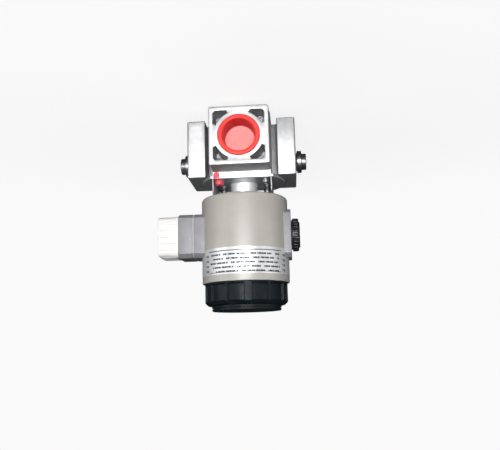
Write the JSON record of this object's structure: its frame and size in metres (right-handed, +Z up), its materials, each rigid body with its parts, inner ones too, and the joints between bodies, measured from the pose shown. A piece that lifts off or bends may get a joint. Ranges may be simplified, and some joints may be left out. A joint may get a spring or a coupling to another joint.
{
  "type": "gas valve",
  "caption": "Inline gas solenoid shut-off valve: die-cast body with threaded port flanges, side test points and a round solenoid with connector.",
  "frame": {"origin": "centre of the flat underside of the bottom cover, below the point where the port axis crosses the solenoid axis", "axes": "+Z up along the solenoid axis, +Y along the gas flow out of the outlet port, +X towards the connector"},
  "size_m": [0.1298, 0.097, 0.17],
  "materials": {
    "cast_aluminium": "satin die-cast, machined on the faces",
    "stainless": "bright turned",
    "zinc_steel": "zinc plated",
    "magnetic_steel": "dull machined",
    "brass_seat": "turned",
    "contact_brass": "stamped",
    "black_rubber": "matte",
    "pale_seal": "matte",
    "red_plastic": "glossy moulded",
    "tamper_red": "glossy moulded",
    "grey_housing": "satin warm grey",
    "lilac_plastic": "moulded, satin",
    "black_plastic": "moulded, satin",
    "entry_plastic": "moulded, satin",
    "white_polythene": "translucent moulded",
    "bobbin_plastic": "moulded",
    "copper_winding": "enamelled wire",
    "foil_label": "satin foil with grey ruled lines",
    "circuit_board": "solder masked"
  },
  "bodies": {
    "valve": {"valve_body": "cast_aluminium", "inlet_flange": "cast_aluminium", "outlet_flange": "cast_aluminium", "inlet_flange_seal": "black_rubber", "outlet_flange_seal": "black_rubber", "inlet_flange_screws": "zinc_steel", "outlet_flange_screws": "zinc_steel", "inlet_strainer": "stainless", "bottom_cover": "cast_aluminium", "bottom_cover_seal": "black_rubber", "bottom_cover_screws": "zinc_steel", "seat_ring": "brass_seat", "bonnet_seal": "black_rubber", "guide_tube": "stainless", "bonnet_screws": "zinc_steel", "screw_seal_cap": "tamper_red", "pole_core": "stainless", "coil_nut": "zinc_steel"},
    "armature": {"armature": "stainless", "valve_stem": "stainless", "valve_disc": "cast_aluminium", "disc_seal": "black_rubber", "disc_nut": "zinc_steel", "closing_spring": "stainless"},
    "actuator": {"solenoid_housing": "grey_housing", "lower_yoke_plate": "magnetic_steel", "upper_yoke_plate": "magnetic_steel", "coil_bobbin": "bobbin_plastic", "coil_winding": "copper_winding", "coil_encapsulation": "lilac_plastic", "housing_cover": "grey_housing", "type_label": "foil_label", "entry_boss": "lilac_plastic", "connector_base": "lilac_plastic", "connector_gasket": "pale_seal", "connector_housing": "lilac_plastic", "contact_pins": "contact_brass", "connector_screws": "zinc_steel", "rectifier_board": "circuit_board"},
    "dust_cap": {"connector_dust_cap": "white_polythene"},
    "cap_seal": {"cap_seal": "black_rubber"},
    "cap": {"top_cap": "black_plastic", "cap_lid": "black_plastic"},
    "cable_seal": {"cable_plug_seal": "black_rubber"},
    "cable_plug": {"cable_entry_plug": "entry_plastic"},
    "test_seal_left": {"test_seal_left": "black_rubber"},
    "test_plug_left": {"test_plug_left": "zinc_steel"},
    "test_seal_right": {"test_seal_right": "black_rubber"},
    "test_plug_right": {"test_plug_right": "zinc_steel"},
    "inlet_plug": {"inlet_dust_plug": "red_plastic"}
  },
  "joints": [
    {"name": "armature_lift", "type": "slide", "parent": "valve", "child": "armature", "axis": [0, 0, 1], "range_m": [0, 0.006], "stiffness_N_per_m": 400, "springref_m": -0.008, "deforming": ["closing_spring"]},
    {"name": "inlet_plug_pull", "type": "slide", "parent": "valve", "child": "inlet_plug", "axis": [0, -1, 0], "range_m": [0, 0.06]},
    {"name": "actuator_turn", "type": "hinge", "parent": "valve", "child": "actuator", "pos_m": [0, 0, 0.1], "axis": [0, 0, 1], "range_deg": [-180, 180]},
    {"name": "cap_lift", "type": "slide", "parent": "actuator", "child": "cap_seal", "axis": [0, 0, 1], "range_m": [0, 0.00525]},
    {"name": "cap_turn", "type": "hinge", "parent": "cap_seal", "child": "cap", "pos_m": [0, 0, 0.155], "axis": [0, 0, 1], "range_deg": [0, 1085]},
    {"name": "dust_cap_pull", "type": "slide", "parent": "actuator", "child": "dust_cap", "axis": [1, 0, 0], "range_m": [0, 0.03]},
    {"name": "cable_plug_out", "type": "slide", "parent": "actuator", "child": "cable_seal", "axis": [-1, 0, 0], "range_m": [0, 0.0045]},
    {"name": "cable_plug_turn", "type": "hinge", "parent": "cable_seal", "child": "cable_plug", "pos_m": [-0.042, 0, 0.1055], "axis": [-1, 0, 0], "range_deg": [0, 1085]},
    {"name": "test_plug_left_out", "type": "slide", "parent": "valve", "child": "test_seal_left", "axis": [1, 0, 0], "range_m": [0, 0.00802]},
    {"name": "test_plug_left_turn", "type": "hinge", "parent": "test_seal_left", "child": "test_plug_left", "pos_m": [0.048, 0, 0.04], "axis": [1, 0, 0], "range_deg": [0, 2165]},
    {"name": "test_plug_right_out", "type": "slide", "parent": "valve", "child": "test_seal_right", "axis": [-1, 0, 0], "range_m": [0, 0.00802]},
    {"name": "test_plug_right_turn", "type": "hinge", "parent": "test_seal_right", "child": "test_plug_right", "pos_m": [-0.048, 0, 0.04], "axis": [-1, 0, 0], "range_deg": [0, 2165]}
  ],
  "couplings": [
    {"joint": "cap_turn", "follows": "cap_lift", "rad_per_m": 3590.4},
    {"joint": "cable_plug_turn", "follows": "cable_plug_out", "rad_per_m": 4188.8},
    {"joint": "test_plug_left_turn", "follows": "test_plug_left_out", "rad_per_m": 4699.5},
    {"joint": "test_plug_right_turn", "follows": "test_plug_right_out", "rad_per_m": 4699.5}
  ]
}
